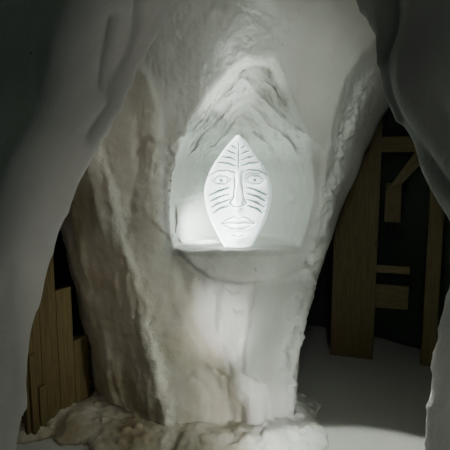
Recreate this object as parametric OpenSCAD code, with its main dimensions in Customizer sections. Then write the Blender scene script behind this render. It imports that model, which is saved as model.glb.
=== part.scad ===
// Domed snow chamber of an igloo: a round snow shell with one pointed entrance,
// a carved snow pier with a lit niche facing it, and timber in the two side passages.

/* [Room] */
// Half width of the room at the floor, side to side
room_half_w = 2050; // [1950:10:2400]
// Half depth of the room at the floor, front to back
room_half_d = 1750; // [1650:10:2100]
// Height of the room under the crown
room_h = 2750; // [2650:10:3000]
// Thickness of the snow wall at the floor
wall_t = 550; // [350:10:750]
// Thickness of the snow over the crown
crown_t = 480; // [300:10:700]

/* [Entrance] */
// Width of the entrance at the floor, on the room side
door_w = 1160; // [900:10:1400]
// How far the point of the entrance lies under the room's crown
door_drop = 270; // [210:10:550]
// How far the point of the entrance stands to the right of the middle
door_lean = 160; // [0:10:250]
// How much wider each side of the entrance is on the outside
door_splay = 150; // [0:10:300]
// How much higher the entrance is on the outside
door_rise = 110; // [0:10:150]

/* [Pier] */
// Width of the pier's front at the floor
pier_front_w = 760; // [680:5:900]
// Width of the pier's back at the floor
pier_back_w = 1430; // [1200:10:1600]
// Depth of the pier, without the curve of its back
pier_d = 770; // [740:10:850]
// How far the pier's front stands before the middle of the room
pier_front = 250; // [150:10:300]
// How much further back the front's right edge stands than its left
pier_skew = 100; // [0:10:150]
// Lean of the front's left edge, outwards for each unit of height
left_batter = 0.2; // [0.1:0.01:0.24]
// Lean of the front's right edge, outwards for each unit of height
right_batter = 0.11; // [0.06:0.01:0.16]
// Lean of the corner of its left flank, outwards for each unit of height
flank_lean = 0.17; // [0.1:0.01:0.3]
// How far the stem under the niche stands proud of the front
stem_out = 45; // [20:5:70]
// Width of the stem where it meets the floor, and under the niche
stem_foot_w = 110; // [80:5:150]
stem_top_w = 330; // [250:5:380]
// Depth of the hollows beside the stem
stem_hollow = 50; // [20:5:70]
// How far the front's upper left is cut back
shoulder_in = 90; // [0:5:120]
// How far the pier's head spreads where it meets the vault
pier_spread = 700; // [400:10:900]
// Height of the spreading head, down from the room's crown
head_h = 850; // [750:10:950]

/* [Niche] */
// Height of the shelf above the floor
shelf_z = 1120; // [950:10:1200]
// Snow over the niche's point, up to the room's crown
hood_h = 560; // [530:10:730]
// Width of the niche at its widest
niche_w = 868; // [700:2:880]
// Width of its blunt top
niche_top_w = 156; // [60:2:200]
// How far its sides draw in again towards the shelf
niche_tuck = 64; // [0:2:90]
// Depth of the niche behind the pier's front
niche_d = 450; // [350:10:480]
// How far the niche's top stands to the right of its middle
niche_lean = 92; // [0:2:100]
// Height of the rounded apron under the shelf
apron_h = 190; // [120:10:260]
// How far the apron stands proud of the pier's front
apron_out = 60; // [30:5:90]

/* [Mask] */
// Height of the ice mask
mask_h = 650; // [450:10:700]
// Width of the ice mask at its cheeks
mask_w = 400; // [280:10:440]
// Thickness of the ice at the rim of the mask
mask_t = 45; // [25:5:70]
// How far the face swells forward
mask_relief = 60; // [20:5:90]
// Width of the mask's foot on the shelf
mask_foot_w = 170; // [100:5:220]
// How far the back of the mask stands behind the pier's front
mask_set = 140; // [120:5:220]

/* [Left boards] */
// Width of one upright board
board_w = 122; // [100:2:150]
// Thickness of the boards
board_t = 28; // [18:1:45]
// Number of upright boards
board_count = 4; // [3:1:4]
// Height of the lowest board, nearest the pier
board_low = 480; // [350:10:600]
// How much taller each next board is
board_step = 360; // [150:10:420]
// Gap between two boards
board_gap = 4; // [2:1:10]
// Width of the battens and of the slim laths
batten_w = 45; // [30:1:60]
// Height of the shorter lath, and how much taller the other is
lath_h = 300; // [200:10:400]
lath_step = 220; // [0:10:300]

/* [Right frame] */
// Width of the wide board of the frame
post_w = 345; // [250:5:400]
// Height of the wide board
post_h = 2000; // [1850:10:2050]
// Thickness of the frame's timbers
frame_t = 48; // [35:1:60]
// Width of the frame's short stud and brace
stud_w = 120; // [80:5:140]
// Height at which the knee brace meets the stud
brace_low = 1400; // [1300:10:1450]
// Length of the short stud that hangs from the brace
stud_h = 310; // [200:10:400]
// Width of the jamb board by the wall
jamb_w = 110; // [80:5:120]
// Clear width between the wide board and the jamb
frame_gap = 365; // [330:5:380]
// Height of the underside of the lintel
lintel_z = 1700; // [1640:10:1740]

/* [Hidden] */

snow = "#dcdedb";
snow_shade = "#c9ccc8";
ice = "#d8eef0";
pine = "#c9a868";

// Height of the vault's pieces down from the room's crown, and of the haunches under them
vault_h = 750;
haunch_top = room_h - vault_h;
wall_top = haunch_top - vault_h;
// Power of the curve by which the walls and the niche close towards the top
bow = 3;
// The same for the left and the right side of the entrance
door_bow_left = 3;
door_bow_right = 6;
// Roundness of the wall's upright section, 2 being an ellipse
round_power = 2.2;
// Angular size of one facet of the shell and of one wall segment
facet = 7.5;
segment = 45;
// Height of each ring of facets on the walls
course = 125;
// Rows of facets on the vault, the share of them up to the entrance's point, and the
// share of the radius left for the crown
vault_rows = 8;
point_row = 3 / vault_rows;
crown_share = 0.2;
// Clearance between separate pieces that touch
seat = 0.3;

// Middle of the pier's front and back, side to side
pier_x = 35;
pier_back_x = -215;
// Lean of the pier's back corners for each unit of height, and how much further the right
// one has leaned at the height of the crown
right_lean = 0.2;
right_flare = 454;
left_lean = 0.06;
// Height above which the front's left edge stands upright
shoulder_z = 1900;
// The corner of the left flank, by its place at the floor
flank_x = -880;
flank_y = 200;
// Middle of the stem at the floor and under the niche
stem_foot_x = 185;
stem_top_x = 60;
// Right edge of the cut upper left, and the height over which it fades in
shoulder_x = -370;
shoulder_low = 1100;
shoulder_high = 1750;
// Height at which the head begins to spread
spread_z = room_h - head_h;
// Share of the spread that also goes forwards and backwards
forward = 0.4;
// Facets on each side of the pier, from the front round by the right, and their height
side_facets = [14, 4, 6, 3, 5];
pier_course = 90;
// How far its front, right and back sides and its left flank bulge outwards
front_bulge = 30;
right_bulge = 20;
back_bulge = 200;
flank_bulge = 40;
pier_bulges = [front_bulge, right_bulge, back_bulge, 0, flank_bulge];

// The niche's place, its roundness and the depths of its rings
niche_x = 95;
niche_y = pier_skew / 2 - pier_front;
niche_h = room_h - hood_h - shelf_z;
niche_power = 2.5;
niche_depths = [0, 0.35, 0.6, 0.8, 0.92, 0.98];
arch_rows = 12;
// Share of the niche's height at which it is widest, and how much more its right side draws in
niche_belly = 0.37;
tuck_right = 0.35;
// Where the pier is divided: at the niche's top, just behind the niche and just above it,
// with the head reaching further down at the back
niche_cover = 30;
hood_cover = 60;
head_drop = 290;
niche_point = niche_x + niche_lean;
niche_back = niche_y + niche_d + niche_cover;
hood_z = shelf_z + niche_h + hood_cover;
back_z = hood_z - head_drop;
// Longer than the whole chamber
span = 10000;
// Share of the apron's width and thickness at its foot, its facets and its seat
apron_foot = 0.5;
apron_facets = 10;
apron_seat = 60;

// The mask's place, the height of its cheeks and how narrow its tip is
mask_x = 78;
mask_y = mask_set - pier_front;
cheek_v = 0.5;
tip_share = 0.93;

// Line of the left boards: its end by the pier and its direction
left_line = [-940, 110];
left_turn = -118;
boards_w = board_count * (board_w + board_gap) - board_gap;
batten_run = 500;
// Line of the right frame: how far the outer corner of the wide board stands from the
// room's side and behind its middle, and the line's direction
frame_in = 1157;
frame_back = 887;
right_line = [room_half_w - frame_in, frame_back];
right_turn = -17;
// Thinner planks of the frame, and the place of its stud, brace and rails
plank_t = frame_t * 0.6;
stud_gap = 45;
stud_x = post_w + stud_gap;
stud_lap = 60;
brace_run = 200;
rail_out = 130;
rail_top = 800;
rail_low = 450;

// Size of the shell, where w is 0 on the room side and 1 on the outside
function half_w(w) = room_half_w + w * wall_t;
function half_d(w) = room_half_d + w * wall_t;
function crown_z(w) = room_h + w * crown_t;

// Share of the floor radius that is left at height z, and its inverse
function share(z, w) = pow(1 - pow(min(z / crown_z(w), 1), bow), 1 / round_power);
function share_z(k, w) = crown_z(w) * pow(1 - pow(k, round_power), 1 / bow);

// Point of the shell at angle phi and height z
function skin(phi, z, w) =
    let (k = share(z, w)) [half_w(w) * k * cos(phi), half_d(w) * k * sin(phi), z];

// Edge of the entrance, where side is -1 on the left and 1 on the right. It is a pointed
// arch that closes to a seam, which ends in the middle of the crown.
function door_top(w) = room_h - door_drop + w * door_rise;
function door_x(side, z, w) =
    let (top = door_top(w), seam_end = share_z(crown_share, w))
    z < top ? door_lean + (side * (door_w / 2 + w * door_splay) - door_lean)
                * (1 - pow(max(z, 0) / top, side < 0 ? door_bow_left : door_bow_right))
            : door_lean * max(0, seam_end - z) / (seam_end - top);
function door_phi(side, z, w) = -acos(door_x(side, z, w) / (half_w(w) * share(z, w)));

// Height of row t of the vault, from 0 at the haunches to 1 at the crown's rim.
// The entrance closes at the same row on both sides of the shell.
function vault_z(t, w) =
    let (k0 = share(door_top(w), w), above = (t - point_row) / (1 - point_row))
    t < point_row ? haunch_top + (door_top(w) - haunch_top) * t / point_row
                  : share_z(k0 + (crown_share - k0) * above, w);

// Closed block with nu by nv facets, where at(s, t, w) gives its points
module block(nu, nv, at) {
    function index(i, j, w) = (w * (nv + 1) + j) * (nu + 1) + i;
    function quad(a, b, c, d) = [[a, b, c], [a, c, d]];
    points = [for (w = [0, 1], j = [0:nv], i = [0:nu]) at(i / nu, j / nv, w)];
    faces = concat(
        [for (j = [0:nv - 1], i = [0:nu - 1], f = quad(index(i, j, 0), index(i + 1, j, 0),
            index(i + 1, j + 1, 0), index(i, j + 1, 0))) f],
        [for (j = [0:nv - 1], i = [0:nu - 1], f = quad(index(i, j, 1), index(i, j + 1, 1),
            index(i + 1, j + 1, 1), index(i + 1, j, 1))) f],
        [for (i = [0:nu - 1], f = quad(index(i, 0, 0), index(i, 0, 1),
            index(i + 1, 0, 1), index(i + 1, 0, 0))) f],
        [for (i = [0:nu - 1], f = quad(index(i, nv, 0), index(i + 1, nv, 0),
            index(i + 1, nv, 1), index(i, nv, 1))) f],
        [for (j = [0:nv - 1], f = quad(index(0, j, 0), index(0, j + 1, 0),
            index(0, j + 1, 1), index(0, j, 1))) f],
        [for (j = [0:nv - 1], f = quad(index(nu, j, 0), index(nu, j, 1),
            index(nu, j + 1, 1), index(nu, j + 1, 0))) f]);
    polyhedron(points, faces);
}

// Closed skin through rings of equally many points, with caps that meet at a centre
module loft(rings, tip = undef) {
    n = len(rings[0]);
    last = len(rings) - 1;
    function mean(ring) = [for (c = [0:2]) sum([for (p = ring) p[c]]) / n];
    low = (last + 1) * n;
    top = is_undef(tip) ? mean(rings[last]) : tip;
    points = concat([for (ring = rings, p = ring) p], [mean(rings[0]), top]);
    faces = concat(
        [for (j = [0:last - 1], i = [0:n - 1]) let (k = (i + 1) % n)
            [j * n + i, (j + 1) * n + k, j * n + k]],
        [for (j = [0:last - 1], i = [0:n - 1]) let (k = (i + 1) % n)
            [j * n + i, (j + 1) * n + i, (j + 1) * n + k]],
        [for (i = [0:n - 1]) [low, i, (i + 1) % n]],
        [for (i = [0:n - 1]) [low + 1, last * n + (i + 1) % n, last * n + i]]);
    polyhedron(points, faces);
}
function sum(values) = values * [for (v = values) 1];

// Shell piece between two edges, each a function of height and side of the wall
module shell_piece(from, to, nu, nv, level) {
    color(snow) block(nu, nv, function (s, t, w)
        let (z = level(t, w), a = from(z, w), b = to(z, w)) skin(a + (b - a) * s, z, w));
}
function at_angle(phi) = function (z, w) phi;
right_edge = function (z, w) door_phi(1, z, w);
left_edge = function (z, w) door_phi(-1, z, w);
wall_level = function (t, w) wall_top * t;
haunch_level = function (t, w) wall_top + (haunch_top - wall_top) * t;
vault_level = function (t, w) vault_z(t, w);

module wall(from, to) {
    shell_piece(from, to, segment / facet, round(wall_top / course), wall_level);
}
module haunch(from, to) {
    shell_piece(from, to, segment / facet, round((haunch_top - wall_top) / course), haunch_level);
}
module vault(from, to) {
    shell_piece(from, to, 2 * segment / facet, vault_rows, vault_level);
}

module front_right_jamb() wall(right_edge, at_angle(-45));
module east_wall() wall(at_angle(-45), at_angle(0));
module north_east_wall() wall(at_angle(0), at_angle(45));
module rear_right_wall() wall(at_angle(45), at_angle(90));
module rear_left_wall() wall(at_angle(90), at_angle(135));
module north_west_wall() wall(at_angle(135), at_angle(180));
module west_wall() wall(at_angle(-180), at_angle(-135));
module front_left_jamb() wall(at_angle(-135), left_edge);
module front_right_haunch() haunch(right_edge, at_angle(-45));
module east_haunch() haunch(at_angle(-45), at_angle(0));
module north_east_haunch() haunch(at_angle(0), at_angle(45));
module rear_right_haunch() haunch(at_angle(45), at_angle(90));
module rear_left_haunch() haunch(at_angle(90), at_angle(135));
module north_west_haunch() haunch(at_angle(135), at_angle(180));
module west_haunch() haunch(at_angle(-180), at_angle(-135));
module front_left_haunch() haunch(at_angle(-135), left_edge);
module front_right_vault() vault(right_edge, at_angle(0));
module rear_right_vault() vault(at_angle(0), at_angle(90));
module rear_left_vault() vault(at_angle(90), at_angle(180));
module front_left_vault() vault(at_angle(-180), left_edge);

// Round cap that closes the vault
module crown() {
    n = 360 / facet;
    angles = [for (i = [0:n - 1]) i * facet];
    inside = [for (a = angles) skin(a, share_z(crown_share, 0), 0)];
    outside = [for (a = angles) skin(a, share_z(crown_share, 1), 1)];
    color(snow) polyhedron(
        concat(inside, outside, [[0, 0, crown_z(0)], [0, 0, crown_z(1)]]),
        concat(
            [for (i = [0:n - 1]) [i, 2 * n, (i + 1) % n]],
            [for (i = [0:n - 1]) [n + i, n + (i + 1) % n, 2 * n + 1]],
            [for (i = [0:n - 1]) [i, n + (i + 1) % n, n + i]],
            [for (i = [0:n - 1]) [i, (i + 1) % n, n + (i + 1) % n]]));
}

// The air of the room, with the same facets as the shell
module room_space() {
    walls = round(haunch_top / course);
    levels = concat([for (i = [0:walls]) haunch_top * i / walls],
        [for (i = [1:vault_rows]) vault_z(i / vault_rows, 0)]);
    loft([for (z = levels) [for (phi = [0:facet:359]) skin(phi, z, 0)]], tip = [0, 0, room_h]);
}

// How much of its spread the pier's head has reached at height z
function spread(z) = pow(max(0, z - spread_z) / (room_h - spread_z), 2);

// The corners of the pier at height z, from front left round by the right to the left flank
function pier_corners(z) =
    let (out = pier_spread * spread(z), flare = right_flare * pow(z / room_h, 2),
        left = pier_x - pier_front_w / 2 - left_batter * min(z, shoulder_z) - out,
        right = pier_x + pier_front_w / 2 + right_batter * z + out,
        back_right = pier_back_x + pier_back_w / 2 + right_lean * z + flare + out,
        back_left = pier_back_x - pier_back_w / 2 - left_lean * z - out)
    [[left, -pier_front - out * forward], [right, -pier_front + pier_skew - out * forward],
        [back_right, pier_d - pier_front + out * forward],
        [back_left, pier_d - pier_front + out * forward],
        [flank_x - flank_lean * z - out, flank_y]];

// Share from 0 below low to 1 above high
function fade(v, low, high) = max(0, min(1, (v - low) / (high - low)));

// How far the pier's front stands out at a place: the stem, the hollows beside it and the
// upper left that is cut back
function relief(x, z, left) =
    let (k = z / shelf_z, half = (stem_foot_w + (stem_top_w - stem_foot_w) * k) / 2,
        u = (x - stem_foot_x - (stem_top_x - stem_foot_x) * k) / half,
        under = fade(shelf_z - z, 0, apron_h),
        cut = fade(z, shoulder_low, shoulder_high) * fade(shoulder_x - x, 0, shoulder_x - left))
    under * (stem_out * exp(-pow(u, 4)) - stem_hollow * exp(-pow(u + 2.1, 2))
        - stem_hollow / 3 * exp(-pow(u - 2.1, 2))) - shoulder_in * cut;

// Points from p towards q along a side that bulges outwards
function side_points(p, q, bulge, n) =
    let (d = (q - p) / norm(q - p), out = [d[1], -d[0]])
    [for (i = [0:n - 1]) let (t = i / n) p + (q - p) * t + out * bulge * 4 * t * (1 - t)];

// Outline of the pier at height z
function pier_ring(z) =
    let (c = pier_corners(z), n = len(c))
    [for (i = [0:n - 1], p = side_points(c[i], c[(i + 1) % n], pier_bulges[i], side_facets[i]))
        [p[0], p[1] - (i == 0 ? relief(p[0], z, c[0][0]) : 0), z]];

// The pier's mass between two heights
module pier_mass(low, high) {
    rows = ceil((high - low) / pier_course);
    loft([for (i = [0:rows]) pier_ring(low + (high - low) * i / rows)]);
}

// Side of the niche at share t of its height, from its middle: an arch that leans to the
// right, with a blunt top and sides that draw in again towards the shelf
function niche_edge(side, t) =
    let (top = niche_lean + side * niche_top_w / 2,
        tuck = niche_tuck * (1 + side * tuck_right) * pow(max(0, 1 - t / niche_belly), 2))
    top + (side * niche_w / 2 - top) * (1 - pow(t, bow)) - side * tuck;

// One ring of the niche, where d is its depth from 0 at the front to 1 at the back
function niche_ring(y, d) =
    let (k = pow(1 - pow(max(d, 0), niche_power), 1 / niche_power))
    [for (side = [-1, 1], i = [0:arch_rows])
        let (t = (side < 0 ? i : arch_rows - i) / arch_rows)
        [niche_x + k * niche_edge(side, t), y, shelf_z + k * t * niche_h]];

// The air of the niche, rounded towards its back like an apse
module niche_space() {
    loft(concat([niche_ring(-2 * pier_front, 0)],
        [for (d = niche_depths) niche_ring(niche_y + d * niche_d, d)]));
}

// Slice of the apron at height z, a lens that stands proud of the pier and seats into it
function apron_ring(z) =
    let (t = (z - shelf_z + apron_h) / apron_h, c = pier_corners(z),
        half = niche_w / 2 * (apron_foot + (1 - apron_foot) * sin(90 * t)),
        proud = apron_out * (apron_foot + (1 - apron_foot) * sin(90 * t)),
        slope = (c[1][1] - c[0][1]) / (c[1][0] - c[0][0]))
    [for (i = [0:2 * apron_facets - 1])
        let (front = i <= apron_facets, k = front ? i : 2 * apron_facets - i,
            x = niche_x - half + 2 * half * k / apron_facets,
            bow_out = sin(180 * k / apron_facets))
        [x, c[0][1] + slope * (x - c[0][0])
            - (front ? pier_bulges[0] + proud : -apron_seat) * bow_out, z]];
module apron_mass() {
    rows = 5;
    loft([for (i = [0:rows]) apron_ring(shelf_z - apron_h * (1 - i / rows))]);
}

module pier_base() {
    color(snow) difference() {
        pier_mass(0, shelf_z);
        apron_mass();
    }
}
module niche_apron() {
    color(snow_shade) apron_mass();
}

// Half space used to divide the pier
module beyond(x = -span, y = -span, z = -span) {
    translate([x, y, z]) cube(2 * span);
}
// The pier beside the niche, in front of the piece that closes the niche's back
module cheeks() {
    difference() {
        pier_mass(shelf_z, hood_z);
        niche_space();
        beyond(y = niche_back);
    }
}
module pier_left_cheek() {
    color(snow) difference() {
        cheeks();
        beyond(x = niche_point);
    }
}
module pier_right_cheek() {
    color(snow) intersection() {
        cheeks();
        beyond(x = niche_point);
    }
}
module pier_back() {
    color(snow) intersection() {
        pier_mass(shelf_z, back_z);
        beyond(y = niche_back);
    }
}
module pier_head() {
    color(snow) intersection() {
        pier_mass(back_z, room_h + pier_course);
        room_space();
        union() {
            beyond(z = hood_z);
            beyond(y = niche_back);
        }
    }
}

// Half the width of the mask at share v of its height
function mask_half(v) =
    v < cheek_v ? mask_foot_w / 2 + (mask_w - mask_foot_w) / 2 * sin(90 * v / cheek_v)
                : mask_w / 2 * (1 - tip_share * pow((v - cheek_v) / (1 - cheek_v), 1.7));

// A soft bump of height 1 round the place [u, v] of the face
function bump(u, v, at, size) =
    exp(-pow((u - at[0]) / size[0], 2) - pow((v - at[1]) / size[1], 2));

// How far the face stands out, from 0 at the rim to about 1 at the nose
function face(u, v) =
    (1 - u * u) * (0.62 + 0.2 * sin(180 * v))
    + 0.30 * bump(u, v, [0, 0.52], [0.16, 0.2])
    - 0.30 * bump(abs(u), v, [0.42, 0.62], [0.22, 0.06])
    + 0.12 * bump(abs(u), v, [0.4, 0.72], [0.3, 0.04])
    + 0.16 * bump(u, v, [0, 0.2], [0.3, 0.035])
    - 0.12 * bump(u, v, [0, 0.145], [0.26, 0.02]);

// Carved ice mask, standing on the shelf
module ice_mask() {
    color(ice, 0.7) block(14, 20, function (s, t, w)
        let (u = 2 * s - 1)
        [mask_x + u * mask_half(t), mask_y - w * (mask_t + mask_relief * face(u, t)),
            shelf_z + seat + t * mask_h]);
}

// Upright boards on the left, each taller than the one before
module on_left_line() {
    translate([left_line[0], left_line[1], 0]) rotate(left_turn) children();
}
module left_boards() {
    color(pine) on_left_line() for (i = [0:board_count - 1])
        translate([i * (board_w + board_gap), 0, 0])
            cube([board_w, board_t, board_low + i * board_step]);
}
// Battens behind the boards that run into the side of the pier
module left_battens() {
    color(pine) difference() {
        on_left_line() for (z = [board_low * 0.2, board_low * 0.75])
            translate([-batten_run, -batten_w / 2 - seat, z])
                cube([batten_run + boards_w, batten_w / 2, batten_w]);
        pier_mass(0, shelf_z);
    }
}
// Two slim laths in front of the boards
module left_pole() {
    color(pine) on_left_line() for (i = [0, 1])
        translate([boards_w - board_w + i * 1.2 * batten_w, board_t + seat, 0])
            cube([batten_w, batten_w / 2, lath_h + i * lath_step]);
}

module on_right_line() {
    translate([right_line[0], right_line[1], 0]) rotate(right_turn) children();
}
module right_post() {
    color(pine) on_right_line() cube([post_w, frame_t, post_h]);
}
// Short stud behind the foot of the brace
module right_stud() {
    color(pine) on_right_line() translate([stud_x, plank_t + seat, brace_low + stud_lap - stud_h])
        cube([stud_w, frame_t, stud_h]);
}
// Knee brace that hangs from the lintel
module right_brace() {
    color(pine) intersection() {
        on_right_line() translate([0, plank_t, 0]) rotate([90, 0, 0])
            linear_extrude(plank_t) polygon([
                [stud_x, brace_low], [stud_x + stud_w, brace_low + stud_w / 2],
                [stud_x + stud_w + brace_run, lintel_z - seat],
                [stud_x + brace_run, lintel_z - seat]]);
        room_space();
    }
}
// Lintel between the wide board and the jamb, trimmed where the snow leans in
module right_lintel() {
    color(pine) intersection() {
        on_right_line() translate([post_w + seat, 0, lintel_z])
            cube([frame_gap - 2 * seat, frame_t, stud_w]);
        room_space();
    }
}
// Rails nailed to the edge of the wide board
module rail(z, h) {
    color(pine) on_right_line() translate([post_w + seat, 0, z])
        cube([stud_w + rail_out, plank_t, h]);
}
module right_upper_rail() rail(rail_top - stud_w / 2, stud_w / 2);
module right_lower_rail() rail(rail_low, 1.6 * stud_w);
// Jamb board that runs up into the snow
module right_jamb() {
    color(pine) intersection() {
        on_right_line() translate([post_w + frame_gap, 0, 0]) cube([jamb_w, frame_t, room_h]);
        room_space();
    }
}

front_right_jamb();
east_wall();
north_east_wall();
rear_right_wall();
rear_left_wall();
north_west_wall();
west_wall();
front_left_jamb();
front_right_haunch();
east_haunch();
north_east_haunch();
rear_right_haunch();
rear_left_haunch();
north_west_haunch();
west_haunch();
front_left_haunch();
front_right_vault();
rear_right_vault();
rear_left_vault();
front_left_vault();
crown();
pier_base();
niche_apron();
pier_left_cheek();
pier_right_cheek();
pier_back();
pier_head();
ice_mask();
left_boards();
left_battens();
left_pole();
right_post();
right_stud();
right_brace();
right_lintel();
right_upper_rail();
right_lower_rail();
right_jamb();
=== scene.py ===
# Domed snow chamber of an igloo: a packed snow shell round a carved pier, whose niche holds
# an ice mask, with pine boards and framing in the two side passages. Lengths are in metres
# unless a comment says millimetres.
import math
import random

import bmesh
import bpy
import numpy as np
from mathutils import Matrix, Vector, noise


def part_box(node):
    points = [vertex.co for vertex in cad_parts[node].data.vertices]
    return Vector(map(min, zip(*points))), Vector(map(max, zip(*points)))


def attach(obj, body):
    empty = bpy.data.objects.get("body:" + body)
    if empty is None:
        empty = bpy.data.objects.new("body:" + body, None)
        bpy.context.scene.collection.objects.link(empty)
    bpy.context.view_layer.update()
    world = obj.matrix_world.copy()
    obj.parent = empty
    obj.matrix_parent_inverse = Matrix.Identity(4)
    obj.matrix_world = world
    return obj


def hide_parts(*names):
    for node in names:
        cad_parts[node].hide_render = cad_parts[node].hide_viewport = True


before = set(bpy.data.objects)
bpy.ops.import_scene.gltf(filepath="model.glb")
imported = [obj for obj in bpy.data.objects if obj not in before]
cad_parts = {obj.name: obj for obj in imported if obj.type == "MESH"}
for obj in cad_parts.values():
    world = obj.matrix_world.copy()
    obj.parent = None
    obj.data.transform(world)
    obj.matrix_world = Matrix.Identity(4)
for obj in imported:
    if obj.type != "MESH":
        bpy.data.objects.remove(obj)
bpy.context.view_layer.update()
MM = 0.001

# The camera stands just outside the entrance, at eye height, and looks slightly down.
# Its tilt is in degrees, and its lens and sensor are in millimetres.
EYE = (0.0, -2.85, 1.6)
EYE_TILT = 82.6
EYE_LENS = 36.8
EYE_SENSOR = 36

# The solids that make up the shell and the pier
SHELL = [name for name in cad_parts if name.endswith(("_wall", "_haunch", "_vault"))
         or name in ("crown", "front_left_jamb", "front_right_jamb")]
PIER = ["pier_base", "niche_apron", "pier_left_cheek", "pier_right_cheek", "pier_back",
        "pier_head"]

# Where the mask stands, and how high the shelf under it is
mask_low, mask_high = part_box("ice_mask")
SHELF_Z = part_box("niche_apron")[1].z

# How finely each skin of snow is meshed, how often its steps are smoothed away, and how many
# triangles it keeps
SHELL_VOXEL = 0.036
PIER_VOXEL = 0.008
SKIN_CALM = 6
SHELL_TRIANGLES = 180000
PIER_TRIANGLES = 185000

# How readily the mesh is thinned at a point, by how well that point is seen
CLOSE, SEEN, SELDOM_SEEN = 0.0, 0.2, 1.0


# Small helpers for meshes
def add_piece(name, mesh, material):
    """A new piece of one material."""
    piece = bpy.data.objects.new(name, mesh)
    bpy.context.scene.collection.objects.link(piece)
    piece.data.materials.append(material)
    return piece


def shade_round(piece):
    for face in piece.data.polygons:
        face.use_smooth = True


def finished(piece):
    """Applies every modifier of a piece."""
    bpy.context.view_layer.update()
    seen = piece.evaluated_get(bpy.context.evaluated_depsgraph_get())
    made = bpy.data.meshes.new_from_object(seen)
    piece.modifiers.clear()
    piece.data = made
    return piece


def one_skin(name, nodes, voxel, more=None):
    """One closed skin of snow round several touching solids, and round more that is added."""
    both = bmesh.new()
    for node in nodes:
        both.from_mesh(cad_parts[node].data)
    if more:
        more(both)
    mesh = bpy.data.meshes.new(name)
    both.to_mesh(mesh)
    both.free()
    piece = add_piece(name, mesh, SNOW)
    remesh = piece.modifiers.new("skin", "REMESH")
    remesh.mode = "VOXEL"
    remesh.voxel_size = voxel
    relax = piece.modifiers.new("relax", "SMOOTH")
    relax.iterations = SKIN_CALM
    return finished(piece)


def refine(piece, wanted, calm):
    """Cuts the wanted faces in four and relaxes the new points calm times."""
    work = bmesh.new()
    work.from_mesh(piece.data)
    work.normal_update()
    edges = {edge for face in work.faces if wanted(face.calc_center_median())
             for edge in face.edges}
    bmesh.ops.subdivide_edges(work, edges=list(edges), cuts=1, use_grid_fill=True)
    work.verts.ensure_lookup_table()
    near = [vert for vert in work.verts if wanted(vert.co)]
    for _ in range(calm):
        bmesh.ops.smooth_vert(work, verts=near, factor=0.5, use_axis_x=True, use_axis_y=True,
                              use_axis_z=True)
    bmesh.ops.triangulate(work, faces=[face for face in work.faces if len(face.verts) > 4])
    work.to_mesh(piece.data)
    work.free()


def lighten(piece, triangles, readiness):
    """Thins the mesh to a number of triangles, mostly where it is least seen."""
    group = piece.vertex_groups.new(name="seldom_seen")
    weights = readiness(*points_of(piece))
    for level in (CLOSE, SEEN, SELDOM_SEEN):
        chosen = np.flatnonzero(np.abs(weights - level) < 0.1)
        group.add(chosen.tolist(), level, "REPLACE")
    count = sum(len(face.vertices) - 2 for face in piece.data.polygons)
    thin = piece.modifiers.new("thin", "DECIMATE")
    thin.ratio = min(1.0, triangles / count)
    thin.vertex_group = group.name
    shade_round(finished(piece))


def points_of(piece):
    """The points and the normals of a piece, as two arrays."""
    count = len(piece.data.vertices)
    co = np.zeros(count * 3)
    normals = np.zeros(count * 3)
    piece.data.vertices.foreach_get("co", co)
    piece.data.vertices.foreach_get("normal", normals)
    return co.reshape(-1, 3), normals.reshape(-1, 3)


def set_points(piece, co):
    piece.data.vertices.foreach_set("co", co.reshape(-1))
    piece.data.update()
    shade_round(piece)


def tint(piece, **layers):
    """Stores one value per point for every tone layer of a material."""
    for name, values in layers.items():
        piece.data.attributes.new(name, "FLOAT", "POINT").data.foreach_set("value", values)


# Small helpers for relief
def lumps(points, size, seed, octaves=3, stretch=(1, 1, 1)):
    """Soft random relief from about -1 to 1, whose features have a size in metres."""
    scaled = points / (np.array(stretch) * size) + seed * 13.7
    return np.array([noise.fractal(p, 0.8, 2.1, octaves) for p in scaled.tolist()])


def smooth(value, low, high):
    """0 below low, 1 above high, and a straight ramp between."""
    return np.clip((value - low) / (high - low), 0, 1)


def bell(value, width):
    """1 where the value is 0, and close to 0 where it is more than twice the width."""
    return np.exp(-(value / width) ** 2)


def step(gap, side, reach, soft):
    """Rises over a soft edge on one side of a line, and sinks back over its reach."""
    return np.exp(-gap / reach) * (0.5 + 0.5 * np.tanh(side * gap / soft))


def near_line(across, up, line):
    """Distance to a line of (across, up) points, the side of it, and the place along it, 0 to 1.

    The side is 1 to the right and -1 to the left, as someone sees it who walks along the line.
    """
    best = np.full(len(across), 1e9)
    side = np.zeros(len(across))
    along = np.zeros(len(across))
    spans = [math.dist(p, q) for p, q in zip(line, line[1:])]
    done = 0.0
    for (ax, az), (bx, bz), span in zip(line, line[1:], spans):
        dx, dz = (bx - ax) / span, (bz - az) / span
        t = np.clip((across - ax) * dx + (up - az) * dz, 0, span)
        gap = np.hypot(across - ax - dx * t, up - az - dz * t)
        closer = gap < best
        best = np.where(closer, gap, best)
        side = np.where(closer, np.sign((across - ax) * dz - (up - az) * dx), side)
        along = np.where(closer, (done + t) / sum(spans), along)
        done += span
    return best, side, along


# Small helpers for materials
def linear(code):
    """An sRGB hex colour as linear red, green, blue and alpha."""
    parts = [int(code[i:i + 2], 16) / 255 for i in (1, 3, 5)]
    return tuple(c / 12.92 if c <= 0.04045 else ((c + 0.055) / 1.055) ** 2.4
                 for c in parts) + (1.0,)


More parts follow.
